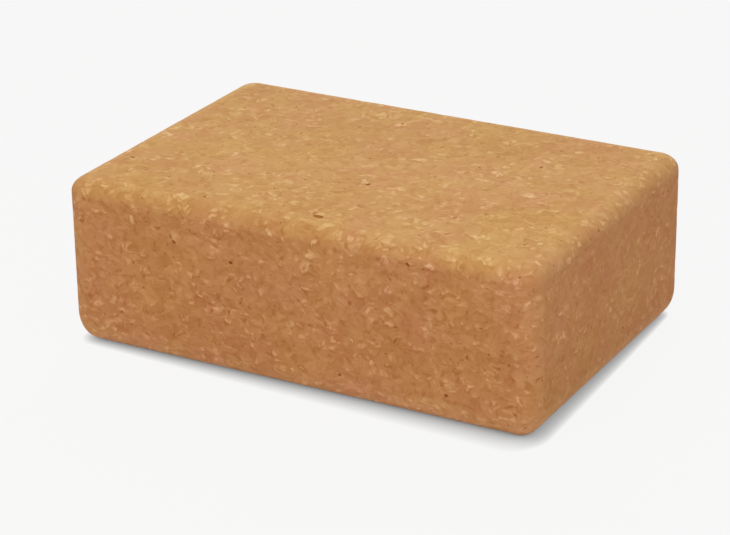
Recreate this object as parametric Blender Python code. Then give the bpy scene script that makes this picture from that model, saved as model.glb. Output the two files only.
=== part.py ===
"""Cork yoga block, 220 x 150 x 75 mm, lying on its broad face.

The block is one solid of agglomerated cork: granules pressed and bonded into a billet,
sawn to size whole, and rounded along all twelve edges. It has no seam, cover, fastener
or moving part, so it is one object.

Lengths are in metres. The origin is at the middle of the face that the block rests on,
with +X along its length, +Y across its width and +Z up.
"""
import bmesh
import bpy
from mathutils import Matrix, Vector

# Driving dimensions
LENGTH = 0.220
WIDTH = 0.150
HEIGHT = 0.075

# How far the rounding reaches from where the flat faces would meet: in from the sides
# on plan, down from the top face, and up from the face that the block rests on
ROUND_ON_PLAN = 0.010
ROUND_DOWN_FROM_TOP = 0.007
ROUND_UP_FROM_BASE = 0.013
ROUND_SEGMENTS = 10
CIRCULAR_PROFILE = 0.5

# Finish of sanded cork
CORK_COLOUR = (0.50, 0.25, 0.095, 1.0)
CORK_ROUGHNESS = 0.85
CORK_METALLIC = 0.0


def clear_scene():
    """Remove every object that the new file starts with."""
    for old in list(bpy.data.objects):
        bpy.data.objects.remove(old, do_unlink=True)


def make_collection(name):
    """Return a new collection linked to the scene."""
    collection = bpy.data.collections.new(name)
    bpy.context.scene.collection.children.link(collection)
    return collection


def cork_material():
    """Return the plain finish of sanded cork."""
    material = bpy.data.materials.new("cork")
    material.use_nodes = True
    shader = material.node_tree.nodes["Principled BSDF"]
    shader.inputs["Base Color"].default_value = CORK_COLOUR
    shader.inputs["Roughness"].default_value = CORK_ROUGHNESS
    shader.inputs["Metallic"].default_value = CORK_METALLIC
    material.diffuse_color = CORK_COLOUR
    return material


def sawn_blank(mesh):
    """Add the square-edged blank, standing on the ground plane."""
    size = Matrix.Diagonal(Vector((LENGTH, WIDTH, HEIGHT, 1.0)))
    lift = Matrix.Translation(Vector((0.0, 0.0, HEIGHT / 2)))
    bmesh.ops.create_cube(mesh, size=1.0, matrix=lift @ size)


def round_edges(mesh):
    """Round all twelve edges alike, with an eighth of a sphere at each corner."""
    bmesh.ops.bevel(
        mesh,
        geom=mesh.edges[:],
        offset=ROUND_ON_PLAN,
        offset_type='OFFSET',
        segments=ROUND_SEGMENTS,
        profile=CIRCULAR_PROFILE,
        affect='EDGES',
    )


def set_rounding_heights(mesh):
    """Flatten the upper rounding and deepen the lower one.

    The round zones under the top face and over the base face start out as high as they
    are wide on plan. Each is scaled along Z from its own face, so that the edges become
    quarter ellipses and every corner an eighth of an ellipsoid. The straight sides take
    up the difference.
    """
    for vertex in mesh.verts:
        depth = HEIGHT - vertex.co.z
        if depth < HEIGHT / 2:
            vertex.co.z = HEIGHT - depth * ROUND_DOWN_FROM_TOP / ROUND_ON_PLAN
        else:
            vertex.co.z *= ROUND_UP_FROM_BASE / ROUND_ON_PLAN


def make_block(collection, material):
    """Build the block and link it to its collection."""
    mesh = bmesh.new()
    sawn_blank(mesh)
    round_edges(mesh)
    set_rounding_heights(mesh)
    bmesh.ops.recalc_face_normals(mesh, faces=mesh.faces[:])

    data = bpy.data.meshes.new("cork_block")
    mesh.to_mesh(data)
    mesh.free()
    data.materials.append(material)
    data.shade_smooth()

    block = bpy.data.objects.new("cork_block", data)
    collection.objects.link(block)
    return block


def main():
    clear_scene()
    make_block(make_collection("cork_yoga_block"), cork_material())


main()
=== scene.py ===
"""Cork yoga block: the cork, the stage it lies on and the camera that looks at it.

The block is agglomerated cork, pressed from granules and sawn to size. Its edges are rounded over more
deeply towards the base than towards the top. The grain runs through the whole block, so the material reads
places in the block, in millimetres, and the same granule shows on both sides of an edge.
"""

import math

import bpy
from bpy.props import FloatProperty, FloatVectorProperty, IntProperty, PointerProperty
from mathutils import Matrix, Vector


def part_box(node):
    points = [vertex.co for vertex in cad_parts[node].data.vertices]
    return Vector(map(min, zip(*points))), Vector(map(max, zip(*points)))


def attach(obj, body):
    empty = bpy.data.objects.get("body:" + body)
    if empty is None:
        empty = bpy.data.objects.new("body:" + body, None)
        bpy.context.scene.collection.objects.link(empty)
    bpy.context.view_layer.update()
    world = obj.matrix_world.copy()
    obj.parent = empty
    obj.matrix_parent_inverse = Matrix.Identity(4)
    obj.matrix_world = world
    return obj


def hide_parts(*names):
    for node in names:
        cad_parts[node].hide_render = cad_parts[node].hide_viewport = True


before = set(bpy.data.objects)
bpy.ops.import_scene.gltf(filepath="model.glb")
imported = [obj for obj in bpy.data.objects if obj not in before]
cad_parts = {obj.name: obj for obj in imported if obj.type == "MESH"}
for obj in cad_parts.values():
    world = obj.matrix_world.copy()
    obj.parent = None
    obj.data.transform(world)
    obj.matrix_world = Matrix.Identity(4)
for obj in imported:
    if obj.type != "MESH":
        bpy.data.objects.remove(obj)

bl_info = {
    "name": "Cork yoga block",
    "version": (1, 0, 0),
    "blender": (4, 5, 0),
    "location": "View3D > Sidebar > Cork block",
    "description": "Builds a cork yoga block, its cork material and a plain stage",
    "category": "Object",
}

NODE = "cork_block"
MM = 0.001

# The CAD block's box gives the block's own size
CAD_LOW, CAD_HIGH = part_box(NODE)
CAD_SIZE = CAD_HIGH - CAD_LOW

# Sizes in metres. The roundings reach in from the sides, down from the top and up from the base.
PLAN_ROUNDING = 0.010
TOP_ROUNDING = 0.007
BASE_ROUNDING = 0.013
MESH_SPACING = 0.0015
RELIEF = 0.0001
GRANULE = 0.0034
PIT_SPACING = 0.0062
PIT_LENGTH = 0.0024
PIT_RAGGEDNESS = 0.00035
MARK_RAGGEDNESS = 0.0006

# How thickly pits are strewn: places to try on each square metre, the share of them kept, and the seed
PIT_DENSITY = 40000.0
PIT_SHARE = 0.2
SEED = 4

# How much painted shade darkens the cork inside a mark and inside a small pit, as a share
MARK_SHADE = 1.0
PIT_SHADE = 0.6

# The marks that stand out on the real block. Each is a crevice that opened beside a granule: the face it is
# on, its place along and across that face, its turn in degrees, and its length, width and depth. The lengths
# are in millimetres, and across is measured from the face's near or lower edge.
MARKS = (
    ("top", 7.5, 12.0, -2.0, 4.8, 2.8, 0.7),
    ("top", 8.0, 52.5, 50.0, 2.2, 1.8, 0.5),
    ("top", 63.5, 103.0, 80.0, 2.8, 1.4, 0.4),
    ("top", -97.0, 34.5, -7.0, 3.0, 1.2, 0.4),
    ("front", -55.0, 56.5, -24.0, 2.2, 1.3, 0.6),
    ("front", 54.5, 67.5, -40.0, 2.2, 1.0, 0.6),
    ("front", 71.5, 14.5, 5.0, 1.9, 1.4, 0.6),
    ("front", 23.0, 13.0, 40.0, 1.6, 1.4, 0.6),
    ("front", -27.5, 52.5, 15.0, 1.7, 1.4, 0.6),
    ("end", -57.0, 71.0, -45.0, 1.8, 1.2, 1.2),
    ("end", -15.0, 70.5, -75.0, 1.8, 1.2, 1.2),
)

# The strewn pits: the least and the greatest half length, half width and depth, as shares of half the length
# of the longest pits
PIT_LONG = (0.32, 1.0)
PIT_WIDE = (0.26, 0.42)
PIT_DEEP = (0.16, 0.3)

# The grain is drawn in millimetres, which these shares lengthen along X, Y and Z: the smaller the share,
# the longer the grain along that axis. It is then bent, by bends of a size and a reach.
GRAIN_STRETCH = (0.72, 0.7, 0.9)
GRAIN_BENDS = ((6.0, 3.0), (2.2, 1.5))
GRAIN_SIZE = 3.4

# Pale chips of bark, one line for each size: how far apart they lie, the share of places with a chip, the
# least and the greatest half length, how many times longer than wide they are, and how pale
PALE_CHIPS = (
    (3.1, 0.74, 1.0, 1.9, 1.6, 0.9),
    (4.8, 0.54, 1.6, 2.7, 1.8, 1.0),
    (7.8, 0.38, 2.0, 3.2, 1.8, 0.6),
)

# Dark chips of bark in the same terms, and how far they are moved off the pale ones
DARK_CHIPS = (3.6, 0.5, 1.0, 2.0, 2.0)
DARK_SHIFT = (41.0, 17.0, 29.0)

# How strongly dark chips, specks, the painted shadow next to pale chips and seams show
SLIVER_DARK = 0.4
SPECK_DARK = 0.6
CHIP_SHADOW_DARK = 0.4
SEAM_DARK = 0.2

# What each thing adds to the cork's lightness or takes from it, about a middle of nearly 1
MIDDLE_TONE = 0.983
GRANULE_TONE = 0.15
BLOTCH_TONE = 0.2
DRIFT_TONE = 0.16
FINE_TONE = 0.02
# The rounded edges are paler; upward-facing rounding takes painted light from above, and rounding low down
# painted light against the floor's shade. The flat sides are a little darker.
ROUNDED_EDGE_TONE = 0.045
EDGE_TOP_LIGHT_TONE = 0.015
LOW_EDGE_LIGHT_TONE = 0.08
FLAT_SIDE_TONE = -0.018
# Painted shade inside pits and marks
PIT_SHADE_TONE = -0.36

# The powers of the lightness that red, green and blue follow, so that darker cork is also deeper in colour
TONE_POWERS = (0.87, 1.5, 2.35)

# How rough the cork is, and how rough its palest chips are
CORK_ROUGHNESS = 0.9
CHIP_ROUGHNESS = 0.76

# The painted tint that stands in for warmer light on the block's sides, and the tint of the light that the
# floor throws back
SIDE_LIGHT_TINT = (1.0, 0.88, 0.885, 1.0)
FLOOR_BOUNCE = (0.95, 0.85, 0.95, 1.0)

# The share of the floor's brightness in the picture that comes from the lamps
FLOOR_LIT = 0.05

# The lamps: name, direction, strength, colour, how wide it looks from the block in degrees, and its
# distance in metres. One with no distance is as far off as the sun.
LAMPS = (
    ("Back light", (-0.36, 0.77, 0.53), 1.2, (0.88, 0.95, 1.0), 46.0, None),
    ("Front light", (0.05, -0.37, 0.93), 1.89, (1.0, 0.93, 0.8), 68.0, 1.4),
    ("Side light", (0.91, -0.42, 0.03), 0.33, (0.8, 0.97, 1.0), 26.0, 0.7),
)


# Node trees written as expressions


class Wire:
    """One output of a node. Sums on it add Math nodes."""

    def __init__(self, graph, socket):
        self.graph = graph
        self.socket = socket

    def other(self, name):
        """Another output of the same node."""
        return Wire(self.graph, self.socket.node.outputs[name])

    def maths(self, operation, *values):
        return self.graph.node("ShaderNodeMath", {"operation": operation}, dict(enumerate(values)))

    def __add__(self, value):
        return self.maths("ADD", self, value)

    def __radd__(self, value):
        return self.maths("ADD", value, self)

    def __sub__(self, value):
        return self.maths("SUBTRACT", self, value)

    def __rsub__(self, value):
        return self.maths("SUBTRACT", value, self)

    def __mul__(self, value):
        return self.maths("MULTIPLY", self, value)

    def __rmul__(self, value):
        return self.maths("MULTIPLY", value, self)

    def __truediv__(self, value):
        return self.maths("DIVIDE", self, value)

    def __rtruediv__(self, value):
        return self.maths("DIVIDE", value, self)

    def __pow__(self, value):
        return self.maths("POWER", self, value)

    def __abs__(self):
        return self.maths("ABSOLUTE", self)

    def __gt__(self, value):
        return self.maths("GREATER_THAN", self, value)

    def at_least(self, value):
        return self.maths("MAXIMUM", self, value)

    def at_most(self, value):
        return self.maths("MINIMUM", self, value)

    def rise(self, low, high):
        """0 below low, 1 above high and a smooth step between them. With low above high, it falls."""
        sockets = {"Value": self, "From Min": low, "From Max": high}
        if low > high:
            sockets = {"Value": self, "From Min": high, "From Max": low, "To Min": 1.0, "To Max": 0.0}
        return self.graph.node("ShaderNodeMapRange", {"interpolation_type": "SMOOTHSTEP"}, sockets)


class Graph:
    """Adds nodes to one tree."""

    def __init__(self, tree):
        self.tree = tree

    def node(self, kind, settings=None, sockets=None, out=0):
        """Adds a node of a kind. Its settings come first, then the values or wires of its sockets."""
        made = self.tree.nodes.new(kind)
        for name, value in (settings or {}).items():
            setattr(made, name, value)
        for name, value in (sockets or {}).items():
            if isinstance(value, Wire):
                self.tree.links.new(value.socket, made.inputs[name])
            elif value is not None:
                made.inputs[name].default_value = value
        return Wire(self, made.outputs[out]) if made.outputs else made

    def vector(self, operation, *values):
        return self.node("ShaderNodeVectorMath", {"operation": operation}, dict(enumerate(values)))

    def scaled(self, vector, factor):
        return self.node("ShaderNodeVectorMath", {"operation": "SCALE"}, {"Vector": vector, "Scale": factor})

    def combined(self, x, y, z):
        return self.node("ShaderNodeCombineXYZ", None, {"X": x, "Y": y, "Z": z})

    def parts(self, vector):
        x = self.node("ShaderNodeSeparateXYZ", None, {"Vector": vector})
        return x, x.other("Y"), x.other("Z")

    def colours(self, first, second, factor, blend="MIX"):
        """The second colour over the first one by a factor. Mix has sockets for each type of data."""
        settings = {"data_type": "RGBA", "blend_type": blend}
        return self.node("ShaderNodeMix", settings, {0: factor, 6: first, 7: second}, out=2)

    def numbers(self, first, second, factor):
        """From the first number to the second one as the factor goes from 0 to 1."""
        return self.node("ShaderNodeMix", {"data_type": "FLOAT"}, {0: factor, 2: first, 3: second})

    def noise(self, place, size, detail=1.0):
        """Noise from 0 to 1 whose waves are about one size long."""
        sockets = {"Vector": place, "Scale": 1.0 / size, "Detail": detail}
        return self.node("ShaderNodeTexNoise", {"noise_dimensions": "3D"}, sockets)

    def push(self, place, size, reach):
        """A push that changes from place to place, by up to half the reach each way along each axis."""
        drawn = self.noise(place, size).other("Color")
        return self.scaled(self.vector("SUBTRACT", drawn, (0.5, 0.5, 0.5)), reach)

    def warped(self, place, size, reach):
        """Places moved about by a noise, so that round cells get the ragged outlines of broken bark."""
        return self.vector("ADD", place, self.push(place, size, 2.0 * reach))

    def cells(self, place, size, feature="F1", softness=None):
        """Cells one size apart: the distance from the middle of each, or from its border."""
        sockets = {"Vector": place, "Scale": 1.0 / size, "Smoothness": softness}
        return self.node("ShaderNodeTexVoronoi", {"voronoi_dimensions": "3D", "feature": feature}, sockets)


def empty_graph(owner):
    """The node tree of a material or a world, with nothing in it."""
    owner.use_nodes = True
    owner.node_tree.nodes.clear()
    return Graph(owner.node_tree)


def opaque(colour):
    return (*colour, 1.0)


def grey(value):
    return (value, value, value, 1.0)


# The block


def tree_input(tree, name, kind, value, low=None, high=None, subtype=None):
    """A named input of a node tree."""
    socket = tree.interface.new_socket(name, in_out="INPUT", socket_type="NodeSocket" + kind)
    if subtype:
        socket.subtype = subtype
    if value is not None:
        socket.default_value = value
    if low is not None:
        socket.min_value = low
        socket.max_value = high


def rounded(graph, place, size, rounding):
    """Places on a sawn box moved on to the rounded block, and the way that the surface faces there.

    The rounding is a quarter of an ellipse along each edge and an eighth of an ellipsoid at each corner.
    It starts from the box's core, which is the box less its rounding on every side.
    """
    x, y, z = graph.parts(place)
    length, width, height = size
    plan, top, base = rounding
    core_x = x.at_least(plan - length * 0.5).at_most(length * 0.5 - plan)
    core_y = y.at_least(plan - width * 0.5).at_most(width * 0.5 - plan)
    core_z = z.at_least(base).at_most(height - top)
    rise = graph.numbers(base, top, z > height * 0.5)
    radii = graph.combined(plan, plan, rise)
    core = graph.combined(core_x, core_y, core_z)
    out = graph.vector("NORMALIZE", graph.vector("DIVIDE", graph.vector("SUBTRACT", place, core), radii))
    skin = graph.vector("ADD", core, graph.vector("MULTIPLY", out, radii))
    facing = graph.vector("NORMALIZE", graph.vector("DIVIDE", out, radii))
    return skin, facing


def sunk_skin(graph, given, skin, facing):
    """The skin with its relief: the granules stand level, and the binder between them has sunk a little."""
    seed = given.other("Seed")
    granule = given.other("Granule")
    shifted = graph.vector("ADD", skin, graph.combined(seed * 0.37, seed * 0.11, seed * 0.23))
    wide = graph.noise(shifted, granule * 2.2)
    small = graph.noise(shifted, granule, 0.0)
    sunk = (wide * 0.6 + small * 0.4).rise(0.35, 0.7) * given.other("Relief")
    return graph.vector("SUBTRACT", skin, graph.scaled(facing, sunk))


def as_pit(graph, mesh, value):
    """Writes on a mesh's faces how much of a pit they are, for the material to read as painted shade. The
    skin is none.
    """
    return graph.node("GeometryNodeStoreNamedAttribute", {"data_type": "FLOAT", "domain": "FACE"},
                      {"Geometry": mesh, "Name": "pit", "Value": value})


def ragged(graph, mesh, reach):
    """Moves a cutter's points about, so that no two pits have the same outline."""
    push = graph.push(graph.node("GeometryNodeInputPosition"), 0.9 * MM, reach)
    return graph.node("GeometryNodeSetPosition", None, {"Geometry": mesh, "Offset": push})


def carved(graph, mesh, cutters):
    """The mesh less its cutters. The rims of the cuts stay sharp."""
    cut = graph.node("GeometryNodeMeshBoolean", {"operation": "DIFFERENCE", "solver": "MANIFOLD"},
                     {"Mesh 1": mesh, "Mesh 2": cutters})
    flat = graph.node("FunctionNodeBooleanMath", {"operation": "NOT"}, {
        0: graph.node("GeometryNodeInputEdgeSmooth")})
    sharp = graph.node("FunctionNodeBooleanMath", {"operation": "OR"}, {
        0: flat, 1: cut.other("Intersecting Edges")})
    return graph.node("GeometryNodeStoreNamedAttribute", {"data_type": "BOOLEAN", "domain": "EDGE"},
                      {"Geometry": cut, "Name": "sharp_edge", "Value": sharp})


def mark_place(face, along, across, turn, size):
    """A mark's place on the block in metres, and the turn that lays its length along the face."""
    length, width, height = size
    quarter = math.radians(90)
    turn = math.radians(turn)
    if face == "top":
        return (along * MM, across * MM - width / 2, height), (0.0, 0.0, turn)
    if face == "front":
        return (along * MM, -width / 2, across * MM), (quarter, -turn, 0.0)
    return (length / 2, along * MM, across * MM), (quarter, -turn, quarter)


def mark_cutters(graph, size):
    """A cutter for each of the marks that stand out on the real block."""
    joined = graph.node("GeometryNodeJoinGeometry")
    for face, along, across, turn, length, width, depth in MARKS:
        spot, angles = mark_place(face, along, across, turn, size)
        ball = graph.node("GeometryNodeMeshIcoSphere", None, {"Radius": 1.0, "Subdivisions": 3})
        ball = graph.node("GeometryNodeTransform", None, {
            "Geometry": ball,
            "Translation": spot,
            "Rotation": angles,
            "Scale": (length * MM / 2, width * MM / 2, depth * MM),
        })
        graph.tree.links.new(ball.socket, joined.socket.node.inputs[0])
    return as_pit(graph, ragged(graph, joined, MARK_RAGGEDNESS), MARK_SHADE)


def pit_cutters(graph, given, block):
    """Cutters strewn over every face. Most are short, and some are drawn out into crevices."""
    seed = given.other("Seed")
    spots = graph.node("GeometryNodeDistributePointsOnFaces", {"distribute_method": "POISSON"}, {
        "Mesh": block,
        "Distance Min": given.other("Pit Spacing"),
        "Density Max": PIT_DENSITY,
        "Density Factor": given.other("Pit Share"),
        "Seed": seed,
    })
    draw = [graph.node("FunctionNodeRandomValue", {"data_type": "FLOAT"}, {"Seed": seed + number}, out=1)
            for number in range(1, 5)]
    long = graph.numbers(*PIT_LONG, draw[0] ** 3.0)
    wide = graph.numbers(*PIT_WIDE, draw[1])
    deep = graph.numbers(*PIT_DEEP, draw[2])
    turned = graph.node("FunctionNodeRotateRotation", {"rotation_space": "LOCAL"}, {
        "Rotation": spots.other("Rotation"),
        "Rotate By": graph.combined(0.0, 0.0, draw[3] * math.tau),
    })
    ball = graph.node("GeometryNodeMeshIcoSphere", None, {
        "Radius": given.other("Pit Length") * 0.5,
        "Subdivisions": 2,
    })
    pits = graph.node("GeometryNodeInstanceOnPoints", None, {
        "Points": spots,
        "Instance": ball,
        "Rotation": turned,
        "Scale": graph.combined(long, wide, deep),
    })
    pits = graph.node("GeometryNodeRealizeInstances", None, {"Geometry": pits})
    return as_pit(graph, ragged(graph, pits, PIT_RAGGEDNESS), PIT_SHADE)


def block_tree(size):
    """Geometry Nodes for the block: a fine sawn box, rounded over, with its relief, marks and pits."""
    tree = bpy.data.node_groups.new("Pressed cork block", "GeometryNodeTree")
    tree.interface.new_socket("Geometry", in_out="OUTPUT", socket_type="NodeSocketGeometry")
    for name, value in (("Length", CAD_SIZE.x), ("Width", CAD_SIZE.y), ("Height", CAD_SIZE.z),
                        ("Plan Rounding", PLAN_ROUNDING), ("Top Rounding", TOP_ROUNDING),
                        ("Base Rounding", BASE_ROUNDING), ("Spacing", MESH_SPACING), ("Relief", RELIEF),
                        ("Granule", GRANULE), ("Pit Spacing", PIT_SPACING), ("Pit Length", PIT_LENGTH)):
        tree_input(tree, name, "Float", value, 0.0, 1.0, "DISTANCE")
    tree_input(tree, "Pit Share", "Float", PIT_SHARE, 0.0, 1.0, "FACTOR")
    tree_input(tree, "Seed", "Int", SEED, 0, 1000)
    tree_input(tree, "Material", "Material", None)

    graph = Graph(tree)
    given = graph.node("NodeGroupInput")
    length, width, height = (given.other(name) for name in ("Length", "Width", "Height"))
    rounding = [given.other(name) for name in ("Plan Rounding", "Top Rounding", "Base Rounding")]
    spacing = given.other("Spacing")

    # The sawn box, on a grid fine enough for the relief. It is made about the origin and stands on it.
    box = graph.node("GeometryNodeMeshCube", None, {
        "Size": graph.combined(length, width, height),
        "Vertices X": length / spacing + 1.5,
        "Vertices Y": width / spacing + 1.5,
        "Vertices Z": height / spacing + 1.5,
    })
    lift = graph.combined(0.0, 0.0, height * 0.5)
    place = graph.vector("ADD", graph.node("GeometryNodeInputPosition"), lift)
    skin, facing = rounded(graph, place, (length, width, height), rounding)
    block = graph.node("GeometryNodeSetPosition", None, {
        "Geometry": box,
        "Position": sunk_skin(graph, given, skin, facing),
    })
    block = graph.node("GeometryNodeSetShadeSmooth", None, {"Geometry": block, "Shade Smooth": True})
    block = as_pit(graph, block, 0.0)

    block = carved(graph, block, mark_cutters(graph, size))
    block = carved(graph, block, pit_cutters(graph, given, block))

    whole = graph.node("GeometryNodeRealizeInstances", None, {"Geometry": block})
    dressed = graph.node("GeometryNodeSetMaterial", None, {
        "Geometry": whole,
        "Material": given.other("Material"),
    })
    graph.node("NodeGroupOutput", None, {"Geometry": dressed})
    return tree


def set_inputs(modifier, values):
    """Sets a modifier's inputs by their names, through the identifiers that it knows them by."""
    known = {item.name: item.identifier for item in modifier.node_group.interface.items_tree
             if item.item_type == "SOCKET" and item.in_out == "INPUT"}
    for name, value in values.items():
        modifier[known[name]] = value


def plain_mesh(obj, name):
    """Turns an object's evaluated mesh into its own one, and removes its modifiers."""
    graph = bpy.context.evaluated_depsgraph_get()
    mesh = bpy.data.meshes.new_from_object(obj.evaluated_get(graph))
    mesh.name = name
    obj.modifiers.clear()
    obj.data = mesh


# The cork


def chip(graph, place, size, share, short, long, aspect):
    """Long chips that lie every way in a share of the cells, all in millimetres.

    Gives how far inside its chip a place is, then how marked the chip is, and 1 on the chip's lower and
    nearer side, where a painted shadow goes.
    """
    cell = graph.cells(place, size)
    chance, extent, depth = graph.parts(cell.other("Color"))
    middle = cell.other("Position")
    local = graph.vector("SUBTRACT", place, middle)
    drawn = graph.node("ShaderNodeTexWhiteNoise", {"noise_dimensions": "3D"}, {"Vector": middle}, "Color")
    axis = graph.vector("NORMALIZE", graph.vector("SUBTRACT", drawn, (0.5, 0.5, 0.5)))
    along = graph.vector("DOT_PRODUCT", local, axis).other("Value")
    reach = graph.vector("LENGTH", local).other("Value")
    away = (reach * reach - along * along) * (aspect * aspect) + along * along
    border = graph.cells(place, size, "DISTANCE_TO_EDGE") * (1.5 * size) - 0.5
    within = (graph.numbers(short, long, extent) - away ** 0.5).at_most(border)
    part = (chance > 1.0 - share) * graph.numbers(0.15, 1.0, depth)
    # The side of each chip that is lower and nearer, where a painted shadow goes, as if the chip stood proud
    down = graph.vector("DOT_PRODUCT", local, (0.0, -0.7, -0.7)).other("Value")
    lower = (down / reach).rise(-0.1, 0.6)
    return within, part, lower


def cork_hue(graph, place, side, settings):
    """Slow drifts of hue across the block, between redder and more golden cork. The sides are painted
    redder, standing in for warmer light on them.
    """
    ground, red, ochre = (opaque(colour) for colour in (settings.ground, settings.red, settings.ochre))
    drift = graph.noise(place, 14.0)
    broad = graph.noise(place, 45.0)
    colour = graph.colours(ground, red, drift.rise(0.48, 0.75) * 0.5)
    colour = graph.colours(colour, ochre, drift.rise(0.52, 0.25) * 0.5)
    colour = graph.colours(colour, ochre, broad.rise(0.4, 0.7) * 0.5)
    # Painted warm light: the sides take a redder tint
    return graph.colours(colour, SIDE_LIGHT_TINT, side, "MULTIPLY")


def pale_chips(graph, place, bent, rubbed_and_lit, pit):
    """Pale chips of bark in several sizes, crowded in some places and on the worn, rounded edges.

    Gives how pale they are, then a painted shadow on the lower, nearer side of them.
    """
    crowd = (graph.noise(place, 15.0).rise(0.38, 0.6) * 0.6 + 0.4).at_least(rubbed_and_lit * 0.9)
    uneven = graph.noise(place, 1.7, 0.0).rise(0.3, 0.6) * 0.5 + 0.5
    flecks = None
    chip_shadow = None
    for *shape, strength in PALE_CHIPS:
        within, part, lower = chip(graph, bent, *shape)
        one = within.rise(-0.8, 0.8) * part * strength
        # A painted shadow on the lower, nearer side of each chip
        shadow_rim = within.rise(-1.6, -0.5) * lower * part * strength
        flecks = one if flecks is None else flecks.at_least(one)
        chip_shadow = shadow_rim if chip_shadow is None else chip_shadow.at_least(shadow_rim)
    flecks = flecks * crowd * uneven * (1.0 - pit)
    return flecks, (chip_shadow * crowd - flecks).at_least(0.0)


def dark_bark_and_shadow(graph, place, bent, chip_shadow):
    """Dark chips and specks of bark, seams where the binder shows between granules, and the painted shadow
    next to pale chips.
    """
    within, part, _ = chip(graph, graph.vector("ADD", bent, DARK_SHIFT), *DARK_CHIPS)
    sliver = within.rise(-0.45, 0.45) * part
    cell = graph.cells(bent, GRAIN_SIZE)
    chance, extent, _ = graph.parts(cell.other("Color"))
    speck = (chance > 0.87) * (graph.numbers(0.14, 0.28, extent) - cell).rise(-0.12, 0.12)
    gap = graph.cells(bent, 4.2, "DISTANCE_TO_EDGE").rise(0.12, 0.02)
    seam = gap * graph.noise(place, 3.0).rise(0.5, 0.6)
    dark = (sliver * SLIVER_DARK).at_least(speck * SPECK_DARK).at_least(chip_shadow * CHIP_SHADOW_DARK)
    return dark.at_least(seam * SEAM_DARK)


def cork_material(settings):
    """Pressed cork: granules of many browns in a darker binder, with pale chips, dark bark and pits."""
    material = bpy.data.materials.new("Pressed cork")
    graph = empty_graph(material)

    # Places in the block in millimetres. Pressing left the granules a little flatter than they are wide.
    place = graph.scaled(graph.node("ShaderNodeTexCoord", None, None, "Object"), 1.0 / MM)
    bent = graph.vector("MULTIPLY", place, GRAIN_STRETCH)
    for size, reach in GRAIN_BENDS:
        bent = graph.warped(bent, size, reach)
    blotch = graph.noise(bent, 2.6)
    fine = graph.noise(place, 1.1)
    # How much painted shade darkens a pit or mark
    pit = graph.node("ShaderNodeAttribute", {"attribute_name": "pit"}, None, "Fac")

    # How much each place faces along X, Y and Z, whichever way
    normal = graph.node("ShaderNodeNewGeometry", None, None, "Normal")
    facing_x, facing_y, facing_z = (abs(part) for part in graph.parts(normal))

    # The flat parts of the sides are sawn and have a ragged border. The sides are painted redder than the
    # broad faces, standing in for warmer light on them, and their flat parts are a little darker. The
    # rounded edges crowd with pale chips of worn cork and take painted light. The grain is clearest on the
    # long sides.
    # The flat sides are a little darker, and the sides take the painted tint of warmer light, fullest on
    # their flat parts
    sawn = ((blotch - 0.5) * 0.5 + facing_z).rise(0.22, 0.02)
    side = ((1.0 - facing_z).at_least(0.0) ** 0.5).at_most(0.76) + sawn * 0.24
    # The rounded edges: worn cork crowded with pale chips, and where painted light falls on them
    rubbed_and_lit = facing_x.at_least(facing_y).at_least(facing_z).rise(0.999, 0.988)
    clear = facing_y * 0.31 - facing_x * 0.06 + 0.77

    # Granules a few millimetres across, each a little darker or lighter than the next
    granule = graph.parts(graph.cells(bent, GRAIN_SIZE, "SMOOTH_F1", 0.25).other("Color"))[0]
    grain = (granule - 0.5) * GRANULE_TONE + (blotch - 0.5) * BLOTCH_TONE
    flecks, chip_shadow = pale_chips(graph, place, bent, rubbed_and_lit, pit)
    dark = dark_bark_and_shadow(graph, place, bent, chip_shadow)

    # All of it goes into the lightness. The rounded edges are paler; where they face up they take painted
    # light from above, and low down painted light against the floor's shade. The flat sides are a little
    # darker, and pits take a deep painted shade.
    tone = (grain + flecks * settings.fleck_light - dark * settings.bark_and_shadow_dark) * clear
    tone = tone + (graph.noise(place, 30.0) - 0.5) * DRIFT_TONE + (fine - 0.5) * FINE_TONE
    low = graph.parts(place)[2].rise(BASE_ROUNDING / MM, 4.0)
    tone = tone + rubbed_and_lit * (facing_z * EDGE_TOP_LIGHT_TONE + low * LOW_EDGE_LIGHT_TONE + ROUNDED_EDGE_TONE)
    tone = tone + sawn * FLAT_SIDE_TONE + pit * PIT_SHADE_TONE + MIDDLE_TONE
    deeper = graph.combined(*(tone ** power for power in TONE_POWERS))
    colour = graph.colours(cork_hue(graph, place, side, settings), deeper, 1.0, "MULTIPLY")

    height = flecks - dark * 1.5 + blotch * 0.5 + fine * 0.05
    bump = graph.node("ShaderNodeBump", None, {"Strength": 0.4, "Distance": 0.15 * MM, "Height": height})
    roughness = graph.numbers(CORK_ROUGHNESS, CHIP_ROUGHNESS, flecks) + dark * 0.1
    surface = graph.node("ShaderNodeBsdfPrincipled", None, {
        "Base Color": colour,
        "Roughness": roughness,
        "Normal": bump,
        "Specular IOR Level": 0.3,
    })
    graph.node("ShaderNodeOutputMaterial", None, {"Surface": surface})
    return material


# The stage


def seen_rays(graph):
    """1 for the rays that show a thing itself, in the picture or in a gloss or a glass."""
    path = graph.node("ShaderNodeLightPath", None, None, "Is Camera Ray")
    return path.at_least(path.other("Is Glossy Ray")).at_least(path.other("Is Transmission Ray"))


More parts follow.
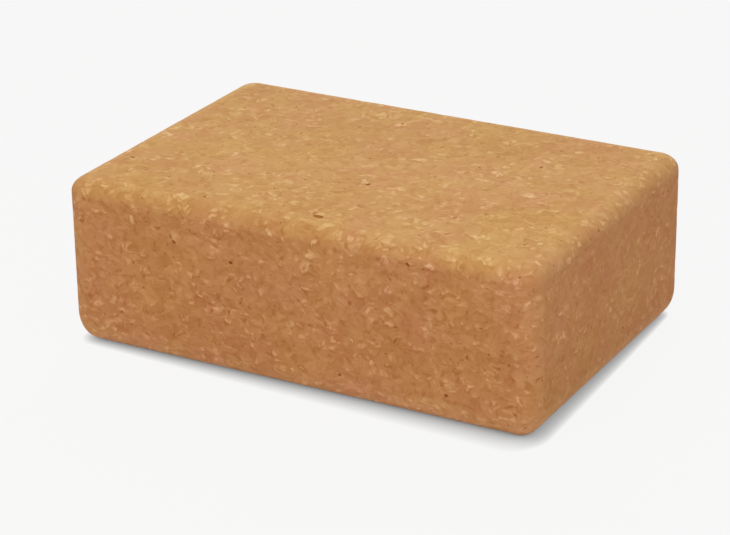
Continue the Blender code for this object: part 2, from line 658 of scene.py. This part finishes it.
def floor_material(settings):
    """The camera sees the floor evenly bright, with the shade that the block throws close by."""
    material = bpy.data.materials.new("Pale floor")
    graph = empty_graph(material)
    colour = opaque(settings.floor_colour)

    # The shade is widest at the block's near corner and fades towards its far ends
    x, y, _ = graph.parts(graph.node("ShaderNodeTexCoord", None, None, "Object"))
    end = x.rise(0.1, 0.115)
    spread = ((x * 4.0 + 0.95).at_least(0.3) * (0.66 - y * 4.5).at_least(0.2)).at_most(1.4)
    reach = spread * (1.0 - end * 0.4) * settings.shade_reach
    open_share = graph.node("ShaderNodeAmbientOcclusion", {"samples": 16}, {"Distance": reach}, "AO")
    shade = graph.colours(grey(0.0), colour, open_share ** (end * 0.5 + 0.56))

    shown = graph.node("ShaderNodeEmission", None, {"Color": shade})
    lit = graph.node("ShaderNodeBsdfDiffuse", None, {"Color": colour})
    pictured = graph.node("ShaderNodeMixShader", None, {"Fac": FLOOR_LIT, 1: shown, 2: lit})
    bounce = graph.node("ShaderNodeBsdfDiffuse", None, {"Color": FLOOR_BOUNCE})
    both = graph.node("ShaderNodeMixShader", None, {"Fac": seen_rays(graph), 1: bounce, 2: pictured})
    graph.node("ShaderNodeOutputMaterial", None, {"Surface": both})
    return material


def stage_floor(settings):
    """A wide pale floor."""
    far = settings.floor_side / 2
    mesh = bpy.data.meshes.new("Floor")
    corners = [(-far, -far, 0.0), (far, -far, 0.0), (far, far, 0.0), (-far, far, 0.0)]
    mesh.from_pydata(corners, [], [(0, 1, 2, 3)])
    mesh.materials.append(floor_material(settings))
    floor = bpy.data.objects.new("Floor", mesh)
    bpy.context.scene.collection.objects.link(floor)


def stage_world(settings):
    """An even pale room."""
    world = bpy.data.worlds.new("Pale room")
    bpy.context.scene.world = world
    graph = empty_graph(world)
    light = graph.node("ShaderNodeBackground", None, {"Color": grey(1.0), "Strength": settings.room_light})
    shown = graph.node("ShaderNodeBackground", None, {"Color": opaque(settings.floor_colour)})
    both = graph.node("ShaderNodeMixShader", None, {"Fac": seen_rays(graph), 1: light, 2: shown})
    graph.node("ShaderNodeOutputWorld", None, {"Surface": both})


def soft_lamp(name, towards, strength, colour, spread, distance):
    """A wide soft lamp in the direction given, far off or at a distance.

    Its strength is the light that it throws on a thing at the origin that faces it.
    """
    lamp = bpy.data.lights.new(name, "AREA" if distance else "SUN")
    lamp.color = colour
    if distance:
        half = math.radians(spread) / 2
        lamp.shape = "DISK"
        lamp.size = 2.0 * distance * math.tan(half)
        lamp.energy = strength * math.pi * (distance / math.cos(half)) ** 2
    else:
        lamp.angle = math.radians(spread)
        lamp.energy = strength
    lamp_object = bpy.data.objects.new(name, lamp)
    lamp_object.location = Vector(towards).normalized() * (distance or 1.0)
    lamp_object.rotation_euler = Vector(towards).to_track_quat("Z", "Y").to_euler()
    lamp_object.visible_camera = False
    bpy.context.scene.collection.objects.link(lamp_object)


def place_camera(settings):
    """The camera, which looks from the block's front right and above, rolled a little."""
    azimuth, elevation, roll = settings.azimuth, settings.elevation, settings.roll
    back = Vector((math.sin(azimuth) * math.cos(elevation), -math.cos(azimuth) * math.cos(elevation),
                   math.sin(elevation)))
    level = Vector((math.cos(azimuth), math.sin(azimuth), 0.0))
    upright = back.cross(level)
    right = level * math.cos(roll) + upright * math.sin(roll)
    up = upright * math.cos(roll) - level * math.sin(roll)
    eye = back * settings.distance + right * settings.aim[0] + up * settings.aim[1]
    camera = bpy.data.cameras.new("Camera")
    camera.lens = settings.lens
    camera.sensor_width = 36.0
    camera_object = bpy.data.objects.new("Camera", camera)
    camera_object.matrix_world = Matrix.Translation(eye) @ Matrix((right, up, back)).transposed().to_4x4()
    bpy.context.scene.collection.objects.link(camera_object)
    bpy.context.scene.camera = camera_object


# Settings, operators and panel


def length_setting(name, description, default):
    return FloatProperty(name=name, description=description, default=default, min=0.0, soft_max=1.0,
                         precision=4, subtype="DISTANCE", unit="LENGTH")


def angle_setting(name, description, degrees):
    return FloatProperty(name=name, description=description, default=math.radians(degrees),
                         subtype="ANGLE", unit="ROTATION")


def share_setting(name, description, default):
    return FloatProperty(name=name, description=description, default=default, min=0.0, max=1.0,
                         subtype="FACTOR")


def colour_setting(name, description, default):
    return FloatVectorProperty(name=name, description=description, default=default, min=0.0, max=1.0,
                               size=3, subtype="COLOR")


class CorkBlockSettings(bpy.types.PropertyGroup):
    """Sizes and colours of the block"""

    length: length_setting("Length", "Length of the block, along X", CAD_SIZE.x)
    width: length_setting("Width", "Width of the block, along Y", CAD_SIZE.y)
    height: length_setting("Height", "Height of the block as it lies", CAD_SIZE.z)
    plan_rounding: length_setting("Rounding on plan", "How far the rounding reaches in from a side",
                                  PLAN_ROUNDING)
    top_rounding: length_setting("Rounding at the top", "How far the rounding reaches down from the top",
                                 TOP_ROUNDING)
    base_rounding: length_setting("Rounding at the base", "How far the rounding reaches up from the base",
                                  BASE_ROUNDING)
    spacing: length_setting("Mesh spacing", "Size of the mesh's squares", MESH_SPACING)
    relief: length_setting("Relief", "How far the surface sinks between the granules", RELIEF)
    pit_spacing: length_setting("Pit spacing", "Least distance between two pits", PIT_SPACING)
    pit_length: length_setting("Pit length", "Length of the longest pits", PIT_LENGTH)
    pit_share: share_setting("Pit share", "Share of the places that have a pit", PIT_SHARE)
    seed: IntProperty(name="Seed", description="Another number strews the pits another way",
                      default=SEED, min=0)
    ground: colour_setting("Ground", "Colour of most granules", (0.565, 0.307, 0.1155))
    red: colour_setting("Red granules", "Colour of the reddest granules", (0.565, 0.268, 0.1165))
    ochre: colour_setting("Ochre granules", "Colour of the most golden granules", (0.575, 0.332, 0.106))
    fleck_light: share_setting("Pale flecks", "How much lighter the palest flecks are", 0.45)
    # This share also darkens the painted shadow next to pale chips
    bark_and_shadow_dark: share_setting("Dark bark", "How much darker the darkest bark is", 0.48)


class CorkStageSettings(bpy.types.PropertyGroup):
    """Floor, lights and camera"""

    floor_colour: colour_setting("Floor colour", "Colour of the floor and the room", (0.939, 0.939, 0.939))
    floor_side: length_setting("Floor side", "Side of the square floor", 8.0)
    shade_reach: length_setting("Shade reach", "How far the block's shade reaches over the floor", 0.0084)
    room_light: FloatProperty(name="Room light", description="Strength of the even light",
                              default=0.22, min=0.0)
    azimuth: angle_setting("Azimuth", "Turn of the camera round the block", 29.18)
    elevation: angle_setting("Elevation", "Height of the camera as an angle", 23.08)
    roll: angle_setting("Roll", "Tilt of the picture", -0.739)
    distance: length_setting("Distance", "Distance of the camera", 1.1174)
    lens: FloatProperty(name="Lens", description="Focal length of the camera in millimetres",
                        default=126.65, min=1.0)
    aim: FloatVectorProperty(name="Aim", description="How far the camera stands to the right and up",
                             default=(-0.006, 0.02514), size=2, precision=5, subtype="TRANSLATION",
                             unit="LENGTH")


class CORK_OT_block(bpy.types.Operator):
    """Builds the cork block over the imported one"""

    bl_idname = "cork.block"
    bl_label = "Cork block"

    def execute(self, context):
        settings = context.scene.cork_block
        size = (settings.length, settings.width, settings.height)
        block = bpy.data.objects.new("cork_body", bpy.data.meshes.new("cork_body"))
        context.scene.collection.objects.link(block)
        modifier = block.modifiers.new("Pressed cork block", "NODES")
        modifier.node_group = block_tree(size)
        set_inputs(modifier, {
            "Length": settings.length,
            "Width": settings.width,
            "Height": settings.height,
            "Plan Rounding": settings.plan_rounding,
            "Top Rounding": settings.top_rounding,
            "Base Rounding": settings.base_rounding,
            "Spacing": settings.spacing,
            "Relief": settings.relief,
            "Pit Spacing": settings.pit_spacing,
            "Pit Length": settings.pit_length,
            "Pit Share": settings.pit_share,
            "Seed": settings.seed,
            "Material": cork_material(settings),
        })
        plain_mesh(block, "cork_body")
        if not block.data.polygons:
            raise RuntimeError("the block has no faces")
        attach(block, "root")
        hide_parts(NODE)
        return {"FINISHED"}


class CORK_OT_stage(bpy.types.Operator):
    """Sets up the pale floor and room, the soft lamps and the camera"""

    bl_idname = "cork.stage"
    bl_label = "Stage"

    def execute(self, context):
        settings = context.scene.cork_stage
        context.scene.view_settings.view_transform = "Standard"
        stage_floor(settings)
        stage_world(settings)
        for name, towards, strength, colour, spread, distance in LAMPS:
            soft_lamp(name, towards, strength, colour, spread, distance)
        place_camera(settings)
        return {"FINISHED"}


class CORK_PT_panel(bpy.types.Panel):
    """Lists the steps and the settings"""

    bl_idname = "CORK_PT_panel"
    bl_label = "Cork block"
    bl_space_type = "VIEW_3D"
    bl_region_type = "UI"
    bl_category = "Cork block"

    def draw(self, context):
        for operator, settings in ((CORK_OT_block, context.scene.cork_block),
                                   (CORK_OT_stage, context.scene.cork_stage)):
            self.layout.operator(operator.bl_idname)
            column = self.layout.column(align=True)
            for name in settings.__annotations__:
                column.prop(settings, name)


CLASSES = (CorkBlockSettings, CorkStageSettings, CORK_OT_block, CORK_OT_stage, CORK_PT_panel)


def register():
    for cls in CLASSES:
        bpy.utils.register_class(cls)
    bpy.types.Scene.cork_block = PointerProperty(type=CorkBlockSettings)
    bpy.types.Scene.cork_stage = PointerProperty(type=CorkStageSettings)


def unregister():
    del bpy.types.Scene.cork_stage
    del bpy.types.Scene.cork_block
    for cls in reversed(CLASSES):
        bpy.utils.unregister_class(cls)


def main():
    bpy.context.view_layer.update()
    register()
    bpy.ops.cork.block()
    bpy.ops.cork.stage()


if __name__ == "__main__":
    main()
